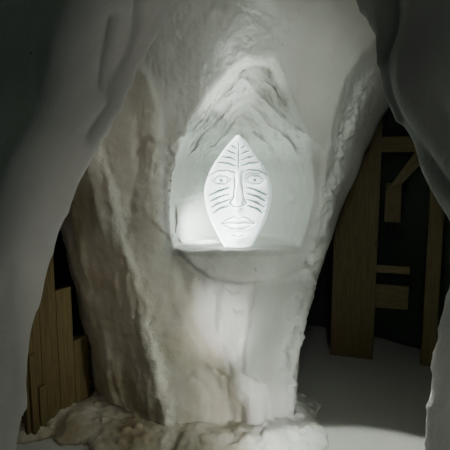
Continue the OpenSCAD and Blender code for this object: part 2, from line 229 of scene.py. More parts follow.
def add(tree, kind, inputs=None, stops=(), **settings):
    """Adds one node with its settings, sets or links its inputs, and places a ramp's colours."""
    made = tree.nodes.new("ShaderNode" + kind)
    for name, value in settings.items():
        setattr(made, name, value)
    for socket, value in (inputs or {}).items():
        if isinstance(value, bpy.types.NodeSocket):
            tree.links.new(value, made.inputs[socket])
        else:
            made.inputs[socket].default_value = value
    for turn, (place, code) in enumerate(stops):
        elements = made.color_ramp.elements
        element = elements[turn] if turn < len(elements) else elements.new(place)
        element.position = place
        element.color = linear(code)
    return made


# The colour sockets of a Mix node: how much, what lies under, what comes over it, and the result
SHARE, UNDER, OVER = 0, 6, 7
MIXED = 2


def new_material(name):
    """An empty material with its surface shader and output."""
    material = bpy.data.materials.new(name)
    material.use_nodes = True
    tree = material.node_tree
    tree.nodes.clear()
    shader = add(tree, "BsdfPrincipled")
    add(tree, "OutputMaterial", {"Surface": shader.outputs[0]})
    return material, tree, shader


def packed_snow():
    """Packed snow, scraped by hand: warm grey-white, dull, finely granular and a little deep.

    Its tones lie over each other: pale crust, partly painted highlight; dark painted shade; and
    earthy snow, partly painted shade.
    """
    material, tree, shader = new_material("packed_snow")
    place = add(tree, "TexCoord").outputs["Object"]
    patches = add(tree, "TexNoise", {"Vector": place, "Scale": 1 / (420 * MM), "Detail": 4.0})
    tone = add(tree, "ValToRGB", {0: patches.outputs[0]},
               stops=[(0.3, "#C6C4BD"), (0.7, "#D8D6D0")]).outputs[0]
    # The pale tone is partly crust and partly painted highlight, the dark tone is painted shade,
    # and the earthy tone is partly earthy snow and partly painted shade
    for layer, code in (("crusty", "#F2F1EC"), ("damp", "#3C463F"), ("earthy", "#988868")):
        amount = add(tree, "Attribute", attribute_name=layer).outputs["Fac"]
        tone = add(tree, "Mix", {SHARE: amount, UNDER: tone, OVER: linear(code)},
                   data_type="RGBA").outputs[MIXED]

    # Bits of bark and soil, one in every 170 mm or so
    bits = add(tree, "TexVoronoi", {"Vector": place, "Scale": 1 / (170 * MM), "Randomness": 1.0})
    speck = add(tree, "ValToRGB", {0: bits.outputs["Distance"]},
                stops=[(0.014, "#5A544A"), (0.02, "#FFFFFF")]).outputs[0]
    tone = add(tree, "Mix", {SHARE: 1.0, UNDER: tone, OVER: speck}, data_type="RGBA",
               blend_type="MULTIPLY").outputs[MIXED]
    tree.links.new(tone, shader.inputs["Base Color"])
    shader.inputs["Roughness"].default_value = 0.72
    shader.inputs["IOR"].default_value = 1.31
    shader.inputs["Subsurface Weight"].default_value = 0.15
    shader.inputs["Subsurface Radius"].default_value = (14 * MM, 13 * MM, 12 * MM)
    shader.inputs["Subsurface Scale"].default_value = 1.0

    # Snow grains are about 1 mm, and drawn as 9 mm so that they show. The crust has 55 mm flakes.
    grain = add(tree, "TexNoise", {"Vector": place, "Scale": 1 / (9 * MM), "Detail": 3.0})
    flakes = add(tree, "TexNoise", {"Vector": place, "Scale": 1 / (55 * MM), "Detail": 6.0,
                                    "Roughness": 0.6})
    both = add(tree, "Math", {0: grain.outputs[0], 1: 0.4, 2: flakes.outputs[0]},
               operation="MULTIPLY_ADD")
    # The bump is stronger under the pale tone, which is partly crust and partly painted highlight
    crusty = add(tree, "Attribute", attribute_name="crusty").outputs["Fac"]
    rise = add(tree, "Math", {0: crusty, 1: 26 * MM, 2: 10 * MM}, operation="MULTIPLY_ADD")
    bump = add(tree, "Bump", {"Height": both.outputs[0], "Distance": rise.outputs[0],
                              "Strength": 0.5})
    tree.links.new(bump.outputs[0], shader.inputs["Normal"])
    return material


def carved_ice():
    """Clear ice with carved grooves: pale blue-green and wet, with painted shade in the grooves
    and a painted glow.
    """
    material, tree, shader = new_material("clear_carved_ice")
    cut = add(tree, "Attribute", attribute_name="groove").outputs["Fac"]
    # Darker in the grooves, as painted shade, and where a faint haze lies
    tone = add(tree, "ValToRGB", {0: cut}, stops=[(0.05, "#F0F8F6"), (0.85, "#738886")]).outputs[0]
    tree.links.new(tone, shader.inputs["Base Color"])
    tree.links.new(tone, shader.inputs["Emission Color"])
    # How strongly the ice gives off its painted glow, stored per point
    glow = add(tree, "Attribute", attribute_name="glow").outputs["Fac"]
    tree.links.new(glow, shader.inputs["Emission Strength"])
    shader.inputs["Roughness"].default_value = 0.18
    shader.inputs["IOR"].default_value = 1.31
    shader.inputs["Transmission Weight"].default_value = 0.35
    shader.inputs["Subsurface Weight"].default_value = 1.0
    shader.inputs["Subsurface Radius"].default_value = (5 * MM, 6 * MM, 6 * MM)
    shader.inputs["Subsurface Scale"].default_value = 1.0

    # Melting leaves soft dents about 35 mm wide
    place = add(tree, "TexCoord").outputs["Object"]
    melt = add(tree, "TexNoise", {"Vector": place, "Scale": 1 / (35 * MM), "Detail": 3.0})
    bump = add(tree, "Bump", {"Height": melt.outputs[0], "Distance": 4 * MM, "Strength": 0.4})
    tree.links.new(bump.outputs[0], shader.inputs["Normal"])
    return material


def sawn_pine():
    """Sawn pine: yellow-brown and dull, with year rings along the board and brown knots."""
    material, tree, shader = new_material("sawn_pine")
    place = add(tree, "TexCoord").outputs["Object"]

    # Each board is cut from another part of the tree
    chance = add(tree, "NewGeometry").outputs["Random Per Island"]
    along = add(tree, "Math", {0: chance, 1: 7.0}, operation="MULTIPLY")
    beside = add(tree, "Math", {0: chance, 1: 3.0}, operation="MULTIPLY")
    shift = add(tree, "CombineXYZ", {"X": along.outputs[0], "Z": beside.outputs[0]})
    own = add(tree, "VectorMath", {0: place, 1: shift.outputs[0]}, operation="ADD")

    # A knot in every 95 by 330 mm or so. Year rings are 3 to 5 mm apart, and drawn 11 mm apart
    # so that they show. They bend round the knots.
    cells = add(tree, "Mapping", {"Vector": own.outputs[0],
                                  "Scale": (1 / (95 * MM), 1 / (95 * MM), 1 / (330 * MM))})
    knots = add(tree, "TexVoronoi", {"Vector": cells.outputs[0], "Scale": 1.0, "Randomness": 1.0})
    drawn = add(tree, "Mapping", {"Vector": own.outputs[0], "Scale": (1.0, 1.0, 0.05)})
    round_knot = add(tree, "MapRange", {"Value": knots.outputs["Distance"], "From Min": 0.0,
                                        "From Max": 0.35, "To Min": 26 * MM, "To Max": 0.0})
    bent = add(tree, "VectorMath", {0: drawn.outputs[0], 1: round_knot.outputs[0]},
               operation="ADD")
    rings = add(tree, "TexNoise", {"Vector": bent.outputs[0], "Scale": 1 / (11 * MM),
                                   "Detail": 3.0, "Distortion": 0.3})
    tone = add(tree, "ValToRGB", {0: rings.outputs[0]},
               stops=[(0.3, "#7F6A3A"), (0.5, "#A18A50"), (0.7, "#B7A068")])
    knot = add(tree, "ValToRGB", {0: knots.outputs["Distance"]},
               stops=[(0.045, "#5E3F22"), (0.085, "#FFFFFF")])
    shade = add(tree, "ValToRGB", {0: chance}, stops=[(0.0, "#E6DDC8"), (1.0, "#FFFFFF")])
    knotty = add(tree, "Mix", {SHARE: 1.0, UNDER: tone.outputs[0], OVER: knot.outputs[0]},
                 data_type="RGBA", blend_type="MULTIPLY")
    board = add(tree, "Mix", {SHARE: 1.0, UNDER: knotty.outputs[MIXED], OVER: shade.outputs[0]},
                data_type="RGBA", blend_type="MULTIPLY")
    # Painted shade over the boards, which stand in the dark side passages
    damp = add(tree, "Attribute", attribute_name="damp").outputs["Fac"]
    wet = add(tree, "Mix", {SHARE: damp, UNDER: board.outputs[MIXED], OVER: linear("#3A3220")},
              data_type="RGBA")
    tree.links.new(wet.outputs[MIXED], shader.inputs["Base Color"])
    shader.inputs["Roughness"].default_value = 0.62
    bump = add(tree, "Bump", {"Height": rings.outputs[0], "Distance": 1.2 * MM, "Strength": 0.5})
    tree.links.new(bump.outputs[0], shader.inputs["Normal"])
    return material


SNOW = packed_snow()
ICE = carved_ice()
PINE = sawn_pine()

# The snow round the entrance that stands close to the eye: in front of a line, near the middle
# and below the crown
NEAR_Y = -0.85
NEAR_HALF = 1.25
NEAR_TOP = 2.95

# Soft folds down both sides of the doorway, as the eye sees them on the doorway's plane, as
# (across, up) points, with their depth and width, and the swelling beside each
DOOR_Y = -1.35
FOLDS = [[(-0.24, 2.2), (-0.28, 2.03), (-0.32, 1.94), (-0.37, 1.86), (-0.4, 1.79), (-0.46, 1.7)],
         [(-0.35, 2.05), (-0.37, 1.97), (-0.39, 1.91), (-0.41, 1.85)],
         [(0.49, 2.2), (0.55, 1.93), (0.62, 1.74), (0.72, 1.52)]]
FOLD_DEPTH, FOLD_WIDTH = 0.014, 0.018
SWELLING_HEIGHT, SWELLING_WIDTH, SWELLING_OFF = 0.006, 0.03, 0.055

# How the doorway's two sides bulge: the height, the reach up and down, and how far to the right
LEFT_BULGES = [(1.72, 0.1, 0.025)]
RIGHT_BULGES = [(1.4, 0.14, 0.06), (0.85, 0.22, -0.05), (1.82, 0.14, -0.065)]

# The middle of the room, which the shell's two faces turn to and turn away from
ROOM_MIDDLE = np.array([0, 0, 1.0])


def near_entrance(at):
    return at.y < NEAR_Y and abs(at.x) < NEAR_HALF and at.z < NEAR_TOP


def shell_readiness(co, _normals):
    """The shell is thinned least at the entrance."""
    close = (co[:, 1] < NEAR_Y) & (np.abs(co[:, 0]) < NEAR_HALF)
    return np.where(close, SEEN, SELDOM_SEEN)


def from_eye(co):
    """Where the eye sees each point on the doorway's plane, as (across, up)."""
    reach = (DOOR_Y - EYE[1]) / np.maximum(co[:, 1] - EYE[1], 0.2)
    return co[:, 0] * reach, EYE[2] + (co[:, 2] - EYE[2]) * reach


def build_shell():
    """The packed snow shell, finer round the entrance that stands close to the eye."""
    shell = one_skin("snow_shell", SHELL, SHELL_VOXEL)
    refine(shell, near_entrance, 2)
    co, normals = points_of(shell)
    x, y, z = co.T
    across, up = from_eye(co)
    outward = (normals * (co - ROOM_MIDDLE)).sum(axis=1)

    # Gentle unevenness everywhere, and the pats of hands and spades outside
    out = 0.016 * lumps(co, 0.7, seed=1) + 0.004 * lumps(co, 0.16, seed=2)
    outside = smooth(outward, 0.3, 0.8)
    out += outside * (0.035 * np.abs(lumps(co, 0.4, seed=24, octaves=1))
                      + 0.012 * lumps(co, 0.13, seed=25) - 0.01)

    # The doorway's two sides: drawn-down streaks, folds, and torn snow low on the right
    leg = smooth(-y, 0.8, 1.0) * smooth(-np.abs(x), -1.4, -1.1) * smooth(y, -2.25, -2.1)
    leg *= smooth(-normals[:, 0] * np.sign(x), 0.0, 0.4)
    left_leg, right_leg = leg * (x < -0.2), leg * (x > 0.2)
    sway = 0.012 * lumps(co, 0.25, seed=23, octaves=2)
    out += leg * 0.007 * lumps(co, 0.08, seed=21, octaves=2, stretch=(1.0, 1.0, 6.0))
    folds = np.zeros(len(x))
    for line in FOLDS:
        gap, _, _ = near_line(across + sway, up, line)
        fold = bell(gap, FOLD_WIDTH)
        folds = np.maximum(folds, fold)
        swelling = bell(gap - SWELLING_OFF, SWELLING_WIDTH)
        out -= leg * (FOLD_DEPTH * fold - SWELLING_HEIGHT * swelling)
    torn = right_leg * bell(z - 0.8, 0.45)
    out += torn * 0.018 * lumps(co, 0.07, seed=22, octaves=4)
    moved = co + normals * out[:, None]
    for side, bulges in ((left_leg, LEFT_BULGES), (right_leg, RIGHT_BULGES)):
        for height, reach, push in bulges:
            moved[:, 0] += side * push * bell(z - height, reach)
    moved[:, 2] = np.maximum(moved[:, 2], 0)
    set_points(shell, moved)

    # Tones: painted shade, dark behind the pier and in the passages, and darker in the folds and
    # where the doorway's sides turn away from the light, the left one beyond a leaning line and
    # the right one higher up. Paler on the torn snow and outside: partly crust and partly painted
    # highlight.
    inward = smooth(-outward, -0.1, 0.3)
    passages = smooth(np.abs(x), 1.0, 1.4) * smooth(y, -1.1, -0.7)
    behind = np.maximum(smooth(y, 0.0, 0.5), passages)
    far_left = np.maximum(smooth(0.42 * (up - 1.65) - across, 0.45, 0.7),
                          0.5 * smooth(-across, 0.63, 0.72))
    far_right = 0.77 * smooth(up, 0.95, 1.3)
    turned = (0.15 + 0.85 * np.where(x < 0, far_left, far_right)
              + np.where(x < 0, 0.3, 0.12) * folds)
    tint(shell, damp=np.maximum(inward * behind, leg * np.clip(turned, 0, 1)),
         earthy=np.zeros(len(x)), crusty=0.3 * torn + 0.4 * outside)
    lighten(shell, SHELL_TRIANGLES, shell_readiness)
    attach(shell, "root")
    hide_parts(*SHELL)


# The lines carved into the pier's front, as (across, up) points. A ledge rises to the left or
# to the right of someone who walks along its line.
LEFT, RIGHT = -1, 1
LEFT_ARRIS = [(-0.7, 1.64), (-0.65, 1.52), (-0.61, 1.31), (-0.56, 1.12), (-0.49, 0.91),
              (-0.45, 0.72), (-0.41, 0.52), (-0.37, 0.33), (-0.34, 0.17), (-0.33, 0.0)]
RIGHT_ARRIS = [(0.84, 2.09), (0.77, 1.88), (0.69, 1.71), (0.68, 1.55), (0.61, 1.38),
               (0.57, 1.11), (0.51, 0.96), (0.5, 0.85), (0.46, 0.73), (0.46, 0.67),
               (0.42, 0.48), (0.41, 0.35), (0.43, 0.22), (0.45, 0.0)]
STEM_LEFT = [(-0.09, 0.93), (-0.12, 0.75), (-0.04, 0.55), (0.08, 0.39), (0.17, 0.16),
             (0.18, 0.0)]
STEM_RIGHT = [(0.16, 0.91), (0.14, 0.7), (0.11, 0.54), (0.11, 0.39), (0.25, 0.29),
              (0.28, 0.15), (0.27, 0.0)]
BUTTRESS_RIDGE = [(-0.3, 1.16), (-0.3, 0.82), (-0.22, 0.63), (-0.1, 0.42), (-0.02, 0.28),
                  (0.05, 0.1)]
LEFT_VALLEY = [(-0.34, 1.82), (-0.32, 1.63), (-0.34, 1.4), (-0.33, 1.26), (-0.28, 1.07),
               (-0.24, 0.85)]
UPPER_LEFT = [(-0.48, 2.18), (-0.42, 2.09), (-0.36, 1.93), (-0.35, 1.84), (-0.37, 1.74)]
CREASE = [(-0.26, 1.12), (-0.17, 1.02), (-0.06, 0.96), (0.09, 0.93), (0.21, 0.94), (0.42, 0.98)]
RIGHT_FACET = [(0.15, 0.69), (0.26, 0.75), (0.36, 0.79), (0.38, 0.54), (0.4, 0.28),
               (0.39, 0.15)]
FOOT_CRACK = [(-0.34, 0.31), (-0.21, 0.36), (-0.13, 0.3), (-0.09, 0.21), (-0.08, 0.1)]
EAR_HOLLOW = [(-0.49, 1.67), (-0.47, 1.72), (-0.43, 1.74), (-0.39, 1.72)]
CRESCENT = [(-0.53, 1.34), (-0.54, 1.39), (-0.52, 1.42)]
SMALL_CRACKS = [[(-0.05, 0.39), (-0.03, 0.37), (0.0, 0.36), (0.01, 0.34)],
                [(0.02, 0.88), (0.04, 0.86), (0.08, 0.87)],
                [(0.05, 0.77), (0.07, 0.75), (0.09, 0.76), (0.1, 0.74)],
                [(-0.26, 1.09), (-0.17, 1.0), (-0.06, 0.945), (0.09, 0.92)]]
SCAR = [(0.02, 2.2), (0.12, 2.28), (0.2, 2.4)]
FLANK_RIDGES = [[(-0.81, 1.66), (-0.9, 1.39), (-0.86, 1.13), (-0.8, 0.81), (-0.69, 0.41),
                 (-0.6, 0.07)],
                [(-1.01, 1.18), (-0.95, 1.01), (-0.86, 0.79), (-0.75, 0.39), (-0.66, 0.07)]]

# The niche's hood of broken snow and what is cut into the niche's walls
HOOD = [(-0.36, 1.66), (0.11, 2.14), (0.52, 1.74)]
BROW_ARCH = [(-0.12, 1.66), (-0.07, 1.77), (0.02, 1.83), (0.14, 1.84), (0.23, 1.8),
             (0.29, 1.72), (0.33, 1.6)]
EAR_FLAKE = [(0.3, 1.51), (0.38, 1.48), (0.43, 1.44), (0.45, 1.4), (0.4, 1.34)]
WALL_CRACK = [(-0.33, 1.37), (-0.26, 1.37), (-0.18, 1.39)]
NICHE_MIDDLE = 0.1
NICHE_TOP = 2.3
HOOD_LAYER = 0.085
FLAKE_HEIGHT = 0.045
CRUST_HEIGHT = 0.032

# Where the pier's tone turns earthy, partly earthy snow and partly painted shade, and where its
# upper front turns away from the light and gets painted shade
EARTHY_EDGE = [(0.17, -0.1), (0.15, 0.16), (0.06, 0.39), (-0.06, 0.55), (-0.14, 0.75),
               (-0.17, 0.93), (-0.32, 1.1), (-0.38, 1.4), (-0.38, 1.7), (-0.4, 1.95),
               (-0.5, 2.25)]
UPPER_EDGE = [(0.02, 2.05), (-0.02, 2.2), (0.06, 2.32), (0.16, 2.5), (0.2, 2.8)]


def carve_pier(co, normals):
    """Where each point of the pier goes when it is carved, and how far it is in a crack, 0 to 1.

    Points move out along their normals, and on the front also forward to the eye.
    """
    x, y, z = co.T
    ragged = 0.02 * lumps(co, 0.09, seed=5)
    wavy = 0.012 * lumps(co, 0.2, seed=6, octaves=2)
    front_y = -0.25 + 0.13 * (x + 0.345)
    inside = smooth(y - front_y, 0.03, 0.06) * (z > SHELF_Z - 0.02)
    inside *= (np.abs(x - NICHE_MIDDLE) < 0.5) * smooth(NICHE_TOP - z, 0, 0.05)
    front = smooth(-normals[:, 1], 0.05, 0.35) * (1 - inside)
    left = smooth(-normals[:, 0], 0.2, 0.5)

    def groove(line, deep, wide, rough):
        gap, _, _ = near_line(x + rough * ragged, z + rough * wavy, line)
        return deep * bell(gap, wide)

    def ledge(line, high, reach, faces, rough=1.0, soft=0.016):
        gap, side, _ = near_line(x + rough * ragged, z + rough * wavy, line)
        return high * step(gap, side * faces, reach, soft)

    # Scraped snow: lumps, grains, flat cuts of the spade and fine streaks higher up
    out = 0.012 * lumps(co, 0.4, seed=3, octaves=2) + 0.005 * lumps(co, 0.1, seed=4)
    out += 0.003 * np.maximum(lumps(co, 0.035, seed=16, octaves=4), -0.2)
    planes = lumps(co, 0.3, seed=19, octaves=1, stretch=(0.8, 1.0, 1.6))
    out += 0.03 * np.abs(planes) * (1 - inside)
    fine = lumps(co, 0.022, seed=18, stretch=(1.0, 1.0, 6.0))
    out += 0.004 * smooth(z, 1.2, 1.5) * np.minimum(fine, 0.1)

    # The front: stem, buttress, arrises, the crease under the apron, hollows and cracks
    stem = (ledge(STEM_LEFT, 0.014, 0.12, RIGHT, rough=0.4, soft=0.06)
            + ledge(STEM_RIGHT, 0.03, 0.10, LEFT, rough=0.3, soft=0.012))
    forward = stem * smooth(z, 0.95, 0.85)
    forward += ledge(BUTTRESS_RIDGE, 0.055, 0.14, LEFT, rough=0.5, soft=0.05) * smooth(z, 0.0, 0.4)
    forward -= groove(LEFT_VALLEY, 0.028, 0.05, 0.4)
    forward += ledge(LEFT_ARRIS, 0.025, 0.16, RIGHT) + ledge(RIGHT_ARRIS, 0.02, 0.14, LEFT)
    forward += ledge(UPPER_LEFT, 0.03, 0.12, RIGHT, rough=0.4)
    forward += ledge(CREASE, 0.03, 0.14, LEFT, rough=0.15, soft=0.007)
    forward += ledge(RIGHT_FACET, 0.012, 0.06, RIGHT, rough=0.5)
    forward -= groove(FOOT_CRACK, 0.010, 0.014, 0.4) + groove(EAR_HOLLOW, 0.03, 0.022, 0.3)
    forward -= groove(CRESCENT, 0.02, 0.02, 0.3)
    # How deep each point lies in a crack, for painted shade there
    cracks = groove(CREASE[1:5], 0.8, 0.008, 0.15)
    for crack in SMALL_CRACKS:
        forward -= groove(crack, 0.012, 0.009, 0.3)
        cracks = np.maximum(cracks, groove(crack, 1.0, 0.009, 0.3))
    cracks *= front > 0.3
    gap, _, _ = near_line(x + 0.6 * ragged, z + 0.6 * wavy, SCAR)
    forward += bell(gap, 0.07) * (0.012 * lumps(co, 0.05, seed=43, octaves=4) - 0.012)

    # Broken snow along both arrises, most of it low on the right, and the streaked left flank
    left_gap, right_gap = near_line(x, z, LEFT_ARRIS)[0], near_line(x, z, RIGHT_ARRIS)[0]
    broken = bell(np.minimum(left_gap, right_gap), 0.06) * (1 - inside) * (1 + 0.8 * (x > 0))
    out += broken * (0.020 * lumps(co, 0.12, seed=7, octaves=2)
                     + 0.010 * lumps(co, 0.04, seed=14, octaves=4))
    right_low = np.clip(1 - right_gap / 0.14, 0, 1) * bell(z - 0.9, 0.3)
    out += right_low * (0.030 * lumps(co, 0.1, seed=41) + 0.012 * lumps(co, 0.03, seed=42) - 0.02)
    out += left * 0.009 * lumps(co, 0.05, seed=8, stretch=(1.0, 1.0, 4.5))
    for line in FLANK_RIDGES:
        gap, side, _ = near_line(x + 0.6 * ragged, z, line)
        out += left * smooth(1.8 - z, 0, 0.2) * 0.035 * step(gap, side, 0.1, 0.03)

    # The hood over the niche: snow broken off in layers that follow its two slopes
    hood_gap, hood_side, along = near_line(x + ragged, z + 1.5 * wavy, HOOD)
    layers = (hood_gap + 0.02 * lumps(co, 0.2, seed=9, octaves=2)) / HOOD_LAYER
    strong = np.clip(0.8 + 0.8 * lumps(co, 0.15, seed=17, octaves=2), 0.1, 1.2)
    layer = layers - np.floor(layers)
    flake = (1 - layer ** 0.5) * strong
    hood = inside * smooth(z + 0.1 * lumps(co, 0.3, seed=10, octaves=2), 1.62, 1.76)
    bedded = np.stack([1.3 * along, hood_gap, 0 * z], axis=-1)
    crust = lumps(bedded, 0.03, seed=11, octaves=5, stretch=(4.0, 1.0, 1.0))
    calmer = 1 - 0.25 * smooth(x, 0.12, 0.3)
    forward += hood * calmer * (FLAKE_HEIGHT * flake + CRUST_HEIGHT * crust)
    lip = (1 - inside) * smooth(hood_side * hood_gap, -0.01, 0.02) * smooth(z, 1.5, 1.65)
    lip *= (y < 0.1) * smooth(-x, -0.42, -0.32)
    out += lip * (0.024 * lumps(co, 0.06, seed=44, octaves=4) + 0.012 * crust)
    # Painted shade in the gaps between the hood's layers and in the crust's hollows
    cracks = np.maximum(cracks, hood * smooth(strong, 0.5, 0.9) * bell(layer, 0.1))
    paler = 0.7 - 0.4 * smooth(x, 0.1, 0.25)
    cracks = np.maximum(cracks, np.maximum(hood, lip) * paler * smooth(-crust, 0.3, 0.7))

    # The niche's walls: an arch over the mask, fine dents, one flake and one crack
    gap, side, _ = near_line(x, z, BROW_ARCH)
    forward += inside * 0.025 * np.exp(-gap / 0.06) * (side < 0)
    forward += inside * 0.004 * lumps(co, 0.06, seed=12)
    out += inside * (0.014 * bell(near_line(x, z, EAR_FLAKE)[0], 0.016)
                     - 0.008 * bell(near_line(x, z, WALL_CRACK)[0], 0.006))

    # Crumbly snow round the foot, and the lean of the right side
    crumbs = 0.014 * lumps(co, 0.1, seed=13) + 0.009 * lumps(co, 0.035, seed=15, octaves=4)
    out += bell(z, 0.08) * (0.006 + crumbs) * (normals[:, 2] > -0.2)
    moved = co + normals * out[:, None]
    moved[:, 1] -= forward * np.where(inside > 0.5, 1, front)
    moved[:, 0] -= 0.035 * smooth(x, 0.2, 0.4) * bell(z - 0.45, 0.3)
    moved[:, 2] = np.maximum(moved[:, 2], 0)
    return moved, cracks


def tint_pier(pier, co, normals, cracks):
    """The pier's tones: earthy on the left, pale where it is broken, and painted shade in cracks
    and behind. The earthy tone is partly painted shade and the pale one partly painted highlight.
    """
    x, y, z = co.T
    facing = normals[:, 1] < 0.3
    in_niche = (np.abs(x - NICHE_MIDDLE) < 0.45) & (z > SHELF_Z - 0.03) & (z < NICHE_TOP) & facing

    # Earthy on faces turned to the left, beyond a line and low down: partly earthy snow and partly
    # painted shade
    earthy = smooth(-normals[:, 0], 0.25, 0.6) * smooth(-x, 0.3, 0.45)
    gap, side, _ = near_line(x, z, EARTHY_EDGE)
    over_edge = smooth(-side * gap + 0.03 * lumps(co, 0.2, seed=32), -0.05, 0.05) * ~in_niche
    earthy = np.maximum(earthy, (0.5 + 0.25 * smooth(-z, -1.1, -0.8)) * over_edge)
    earthy = np.maximum(earthy, smooth(-x, 0.1, 0.4) * smooth(-z, -0.16, -0.1))
    patchy = np.clip(0.5 + 0.8 * lumps(co, 0.25, seed=31), 0, 1)

    # Faces that turn away from the light beside the stem, the buttress and the upper edge
    gap, side, _ = near_line(x, z, STEM_RIGHT)
    turned = (0.32 * smooth(-side * gap, -0.004, 0.006) * smooth(-z, -0.95, -0.9)
              * smooth(z, 0.1, 0.3))
    gap, side, _ = near_line(x, z, BUTTRESS_RIDGE)
    turned += (0.3 * bell(side * gap + 0.035, 0.03) * smooth(-z, -0.9, -0.7)
               * smooth(z, 0.35, 0.5))
    gap, side, _ = near_line(x, z, UPPER_EDGE)
    turned += 0.07 * smooth(-side * gap, -0.006, 0.006) * smooth(z, 2.0, 2.1)
    turned *= normals[:, 1] < -0.3
    # Painted shade behind the pier and low in the niche
    behind = smooth(y, 0.1, 0.5) * smooth(normals[:, 1], -0.3, 0.2) * ~in_niche
    niche_low = 0.2 * in_niche * smooth(-z, -1.75, -1.6)

    gap, side, _ = near_line(x, z, HOOD)
    hood = (side * gap > 0.01) * smooth(z + 0.05 * lumps(co, 0.15, seed=33), 1.62, 1.76)
    hood *= (y < 0.25) * (np.abs(x) < 0.6)
    edge = np.minimum(near_line(x, z, LEFT_ARRIS)[0], near_line(x, z, RIGHT_ARRIS)[0] * 0.6)
    broken = smooth(-edge, -0.07, -0.02) * facing
    scar = smooth(-near_line(x, z, SCAR)[0], -0.1, -0.05)
    # Painted shade in cracks, behind, low in the niche and on faces turned from the light. The
    # earthy tone is partly earthy snow and partly painted shade, the pale one partly crust and
    # partly painted highlight
    tint(pier, damp=np.maximum(behind, niche_low + turned + 0.3 * cracks),
         earthy=earthy * (0.45 + 0.4 * patchy),
         crusty=np.maximum.reduce([hood, 0.8 * broken, 0.6 * scar]))


def pier_readiness(co, normals):
    """The pier is thinned most at its back, and not at all over the niche."""
    back = (co[:, 1] > 0.3) | (normals[:, 1] > 0.2)
    over_niche = (co[:, 2] > 1.55) & (np.abs(co[:, 0]) < 0.5)
    return np.where(back, SELDOM_SEEN, np.where(over_niche, CLOSE, SEEN))


# Where crumbled snow lies along the foot of the pier and of the boards, as (x, y) points. Most
# of it is low mounds, and the rest loose lumps: how wide, how tall and how far off the line.
FOOT_LINE = [(-1.3, -0.1), (-1.1, -0.1), (-0.9, -0.05), (-0.7, -0.12), (-0.5, -0.25),
             (-0.3, -0.3), (0.0, -0.28), (0.25, -0.24), (0.4, -0.18), (0.42, 0.1)]
MOUNDS, LOOSE_LUMPS = 130, 100
MOUND_SIZE = (0.17, 0.038, 0.06)
LUMP_SIZE = (0.02, 0.016, 0.09)


def loose_snow(work):
    """A low uneven bank of crumbled snow along the foot, and a few loose lumps."""
    dice = random.Random(7)
    for turn in range(MOUNDS + LOOSE_LUMPS):
        mound = turn < MOUNDS
        place = dice.uniform(0, len(FOOT_LINE) - 1.001)
        first, part = int(place), place % 1
        (ax, ay), (bx, by) = FOOT_LINE[first], FOOT_LINE[first + 1]
        wide, tall, off = MOUND_SIZE if mound else LUMP_SIZE
        at = Vector((ax + (bx - ax) * part + dice.gauss(0, off),
                     ay + (by - ay) * part + dice.gauss(0, off),
                     0 if mound else dice.uniform(0.01, 0.05)))
        shape = Matrix.Diagonal((wide * dice.uniform(0.6, 1.3), wide * dice.uniform(0.5, 1.1),
                                 tall * dice.uniform(0.5, 1.4), 1))
        spin = Matrix.Rotation(dice.uniform(0, 3), 4, "Z")
        bmesh.ops.create_icosphere(work, subdivisions=2, radius=1,
                                   matrix=Matrix.Translation(at) @ spin @ shape)


def build_pier():
    """The carved pier with its niche, and the crumbled snow round its foot."""
    pier = one_skin("carved_pier", PIER, PIER_VOXEL, loose_snow)
    co, normals = points_of(pier)
    moved, cracks = carve_pier(co, normals)
    set_points(pier, moved)
    tint_pier(pier, co, normals, cracks)
    lighten(pier, PIER_TRIANGLES, pier_readiness)
    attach(pier, "root")
    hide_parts(*PIER)


# The carved grooves of the mask's right half, mirrored on the left: the width, then points
# across and up from its foot, all in millimetres
MASK_GROOVES = [
    (5, [(0, 450), (0, 530), (0, 612)]),
    (5, [(16, 436), (60, 452), (120, 448), (172, 420)]),
    (4, [(40, 394), (75, 417), (115, 417), (156, 392)]),
    (4, [(40, 394), (80, 372), (122, 372), (156, 392)]),
    (5, [(26, 440), (20, 370), (28, 300), (48, 262), (26, 244), (0, 240)]),
    (4, [(0, 168), (28, 182), (62, 166), (100, 140)]),
    (4, [(0, 142), (50, 145), (100, 140)]),
    (4, [(0, 108), (40, 111), (100, 140)]),
    (4, [(0, 64), (40, 74)]),
    (3, [(62, 400), (58, 384)]),
    (3, [(134, 400), (138, 386)]),
]
for row in range(4):
    MASK_GROOVES.append((8, [(52, 352 - 35 * row), (112, 334 - 36 * row),
                             (170 - 8 * row, 304 - 35 * row)]))
    MASK_GROOVES.append((6, [(14, 474 + 34 * row), (60 - 8 * row, 490 + 33 * row),
                             (122 - 28 * row, 496 + 33 * row)]))
PUPIL = (98, 393)

# The soft forms of its face: how high as a share of the swell, then where and how large, across
# and up in millimetres
MASK_FORMS = [
    (0.55, (0, 290), (24, 60)),     # tip of the nose
    (0.35, (0, 360), (17, 90)),     # bridge of the nose
    (0.16, (85, 455), (75, 22)),    # brow
    (-0.3, (98, 395), (62, 34)),    # eye socket
    (0.16, (98, 393), (34, 17)),    # eye
    (0.16, (110, 320), (50, 60)),   # cheek
    (0.22, (0, 160), (64, 15)),     # upper lip
    (0.24, (0, 124), (52, 15)),     # lower lip
    (-0.1, (0, 90), (60, 12)),      # hollow under the lip
    (0.15, (0, 55), (50, 30)),      # chin
]

# The mask's plate: cells across and up, how thick and how swollen it is, how deep its grooves
# are, what share of its width its foot has, and what share of its thickness its rim loses on
# either face
MASK_GRID = (120, 190)
MASK_THICK = 45 * MM
MASK_SWELL = 60 * MM
MASK_CUT = 14 * MM
MASK_FOOT = 0.425
MASK_RIM = 0.42


